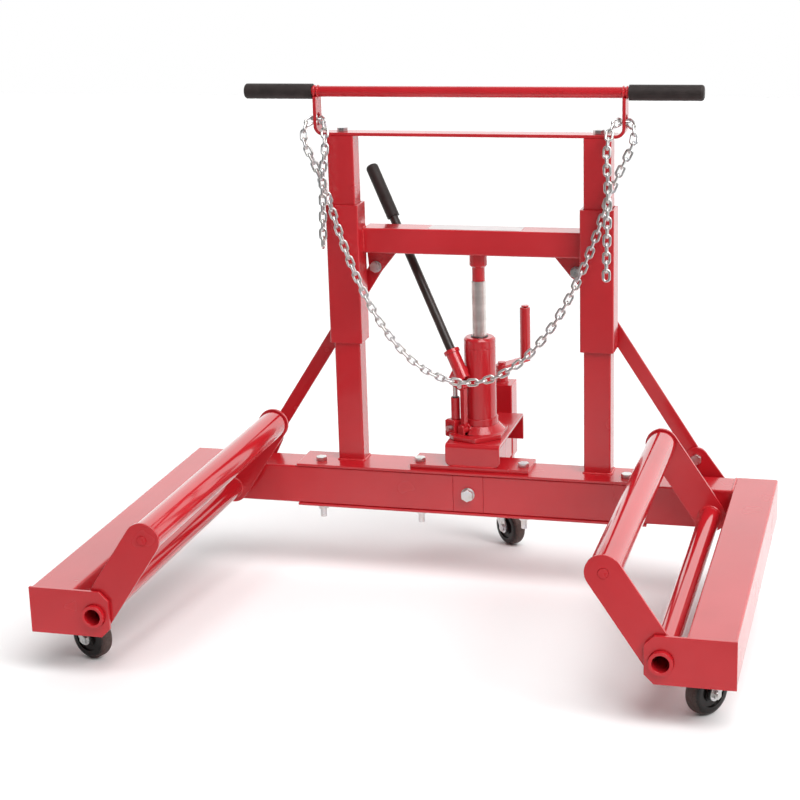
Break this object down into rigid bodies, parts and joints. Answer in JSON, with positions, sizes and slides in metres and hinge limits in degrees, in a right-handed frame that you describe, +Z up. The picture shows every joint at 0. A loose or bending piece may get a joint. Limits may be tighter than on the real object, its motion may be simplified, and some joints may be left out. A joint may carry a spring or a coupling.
{
  "type": "hydraulic wheel dolly",
  "caption": "Red steel wheel dolly on swivel casters: bottle jack lifts a carriage whose struts swing two roller arms in under a tyre; crank-adjusted rear leg and safety chain.",
  "frame": {"origin": "on the ground under the middle of the machine's outer box", "axes": "+Z up, +X to the right of someone looking in from the open end, +Y from the open end towards the crank and push bar; the machine stands pitched forward on its run-out rear screw"},
  "size_m": [1.134, 1.0528, 0.9349],
  "materials": {
    "gloss_red_paint": "gloss",
    "red_cast": "gloss over a cast surface",
    "zinc_plate": "bright zinc plate",
    "gloss_black_paint": "gloss",
    "black_grip": "matte",
    "wheel_tread": "satin moulded",
    "blank_label": "satin vinyl, left blank",
    "ground_steel": "ground and oiled"
  },
  "bodies": {
    "frame": {"channel_beam": "gloss_red_paint", "center_block": "gloss_red_paint", "left_cross_tube": "gloss_red_paint", "right_cross_tube": "gloss_red_paint", "left_leg_box": "gloss_red_paint", "right_leg_box": "gloss_red_paint", "front_end_plates": "gloss_red_paint", "left_post": "gloss_red_paint", "right_post": "gloss_red_paint", "handle_bracket": "gloss_red_paint", "handle_bar": "gloss_red_paint", "handle_grips": "black_grip", "frame_bolts": "zinc_plate", "frame_nuts": "zinc_plate", "jack_base_plate": "gloss_red_paint", "jack_seat": "gloss_red_paint", "jack_base": "red_cast", "jack_cylinder": "gloss_red_paint", "jack_cap_nut": "gloss_red_paint", "pump_barrel": "gloss_red_paint", "pump_link": "gloss_red_paint", "tail_arm": "gloss_red_paint", "tail_sleeve": "gloss_red_paint", "front_caster_plates": "zinc_plate", "safety_chain": "zinc_plate"},
    "carriage": {"left_sleeve": "gloss_red_paint", "right_sleeve": "gloss_red_paint", "lift_beam": "gloss_red_paint", "beam_label": "blank_label", "lift_gussets": "gloss_red_paint", "gusset_bolts": "zinc_plate"},
    "ram": {"jack_ram": "ground_steel", "jack_saddle": "gloss_red_paint"},
    "pump_lever": {"pump_socket": "gloss_red_paint", "pump_handle": "gloss_black_paint", "pump_grip": "black_grip"},
    "plunger": {"pump_plunger": "zinc_plate"},
    "valve": {"release_valve": "zinc_plate"},
    "tail": {"tail_leg": "gloss_red_paint", "rear_caster_plate": "zinc_plate"},
    "crank": {"tail_crank": "gloss_red_paint"},
    "crank_knob": {"crank_grip": "gloss_red_paint"},
    "left_arm": {"left_pivot_tube": "gloss_red_paint", "left_arm_links": "gloss_red_paint", "left_arm_pins": "gloss_red_paint"},
    "left_roller_body": {"left_roller": "gloss_red_paint"},
    "left_strut_body": {"left_strut": "gloss_red_paint"},
    "right_arm": {"right_pivot_tube": "gloss_red_paint", "right_arm_links": "gloss_red_paint", "right_arm_pins": "gloss_red_paint"},
    "right_roller_body": {"right_roller": "gloss_red_paint"},
    "right_strut_body": {"right_strut": "gloss_red_paint"},
    "left_fork": {"left_caster_fork": "zinc_plate"},
    "left_wheel": {"left_caster_wheel": "wheel_tread"},
    "right_fork": {"right_caster_fork": "zinc_plate"},
    "right_wheel": {"right_caster_wheel": "wheel_tread"},
    "rear_fork": {"rear_caster_fork": "zinc_plate"},
    "rear_wheel": {"rear_caster_wheel": "wheel_tread"}
  },
  "joints": [
    {"name": "lift_slide", "type": "slide", "parent": "frame", "child": "carriage", "axis": [0, -0.0965, 0.9953], "range_m": [-0.03274, 0]},
    {"name": "ram_slide", "type": "slide", "parent": "frame", "child": "ram", "axis": [0, -0.0965, 0.9953], "range_m": [-0.03374, 0.001]},
    {"name": "left_arm_swing", "type": "hinge", "parent": "frame", "child": "left_arm", "pos_m": [-0.455, -0.17424, 0.1401], "axis": [0, 0.9953, 0.0965], "range_deg": [-42.4, 0.4]},
    {"name": "left_strut_swing", "type": "hinge", "parent": "carriage", "child": "left_strut_body", "pos_m": [-0.191, 0.2248, 0.59441], "axis": [0, 0.9953, 0.0965], "range_deg": [-0.4, 10.03]},
    {"name": "left_roller_spin", "type": "hinge", "parent": "left_arm", "child": "left_roller_body", "pos_m": [-0.367, -0.19883, 0.26953], "axis": [0, 0.9953, 0.0965], "continuous": true},
    {"name": "right_arm_swing", "type": "hinge", "parent": "frame", "child": "right_arm", "pos_m": [0.455, -0.17424, 0.1401], "axis": [0, 0.9953, 0.0965], "range_deg": [-0.4, 42.4]},
    {"name": "right_strut_swing", "type": "hinge", "parent": "carriage", "child": "right_strut_body", "pos_m": [0.191, 0.2248, 0.59441], "axis": [0, 0.9953, 0.0965], "range_deg": [-10.03, 0.4]},
    {"name": "right_roller_spin", "type": "hinge", "parent": "right_arm", "child": "right_roller_body", "pos_m": [0.367, -0.19883, 0.26953], "axis": [0, 0.9953, 0.0965], "continuous": true},
    {"name": "pump_swing", "type": "hinge", "parent": "frame", "child": "pump_lever", "pos_m": [-0.01796, 0.20184, 0.37618], "axis": [-0.5446, -0.8348, -0.0809], "range_deg": [0, 40]},
    {"name": "plunger_slide", "type": "slide", "parent": "frame", "child": "plunger", "axis": [0, -0.0965, 0.9953], "range_m": [-0.01668, 0.0003]},
    {"name": "valve_turn", "type": "hinge", "parent": "frame", "child": "valve", "pos_m": [-0.04375, 0.20891, 0.29147], "axis": [-0.5446, -0.8348, -0.0809], "range_deg": [0, 180]},
    {"name": "crank_turn", "type": "hinge", "parent": "frame", "child": "crank", "pos_m": [0, 0.45675, 0.36773], "axis": [0, -0.0965, 0.9953], "range_deg": [-900, 7650]},
    {"name": "tail_slide", "type": "slide", "parent": "frame", "child": "tail", "axis": [0, -0.0965, 0.9953], "range_m": [-0.0105, 0.0855]},
    {"name": "crank_grip_spin", "type": "hinge", "parent": "crank", "child": "crank_knob", "pos_m": [0.03605, 0.51068, 0.43324], "axis": [0, -0.0965, 0.9953], "continuous": true},
    {"name": "left_caster_swivel", "type": "hinge", "parent": "frame", "child": "left_fork", "pos_m": [-0.5285, -0.41019, 0.08679], "axis": [0, -0.0965, 0.9953], "continuous": true},
    {"name": "left_wheel_spin", "type": "hinge", "parent": "left_fork", "child": "left_wheel", "pos_m": [-0.50609, -0.41417, 0.03868], "axis": [0.3584, 0.9292, 0.0901], "continuous": true},
    {"name": "right_caster_swivel", "type": "hinge", "parent": "frame", "child": "right_fork", "pos_m": [0.5285, -0.41019, 0.08679], "axis": [0, -0.0965, 0.9953], "continuous": true},
    {"name": "right_wheel_spin", "type": "hinge", "parent": "right_fork", "child": "right_wheel", "pos_m": [0.51372, -0.42444, 0.03769], "axis": [0.788, -0.6128, -0.0594], "continuous": true},
    {"name": "rear_caster_swivel", "type": "hinge", "parent": "tail", "child": "rear_fork", "pos_m": [0, 0.48395, 0.08704], "axis": [0, -0.0965, 0.9953], "continuous": true},
    {"name": "rear_wheel_spin", "type": "hinge", "parent": "rear_fork", "child": "rear_wheel", "pos_m": [0.01755, 0.47224, 0.03819], "axis": [0.682, 0.7279, 0.0705], "continuous": true}
  ],
  "couplings": [
    {"joint": "ram_slide", "follows": "lift_slide", "ratio": 1},
    {"joint": "left_arm_swing", "follows": "lift_slide", "rad_per_m": 22.389},
    {"joint": "left_strut_swing", "follows": "lift_slide", "rad_per_m": -5.1348},
    {"joint": "right_arm_swing", "follows": "lift_slide", "rad_per_m": -22.389},
    {"joint": "right_strut_swing", "follows": "lift_slide", "rad_per_m": 5.1348},
    {"joint": "plunger_slide", "follows": "pump_swing", "m_per_rad": -0.023464},
    {"joint": "tail_slide", "follows": "crank_turn", "m_per_rad": 0.00063662}
  ]
}
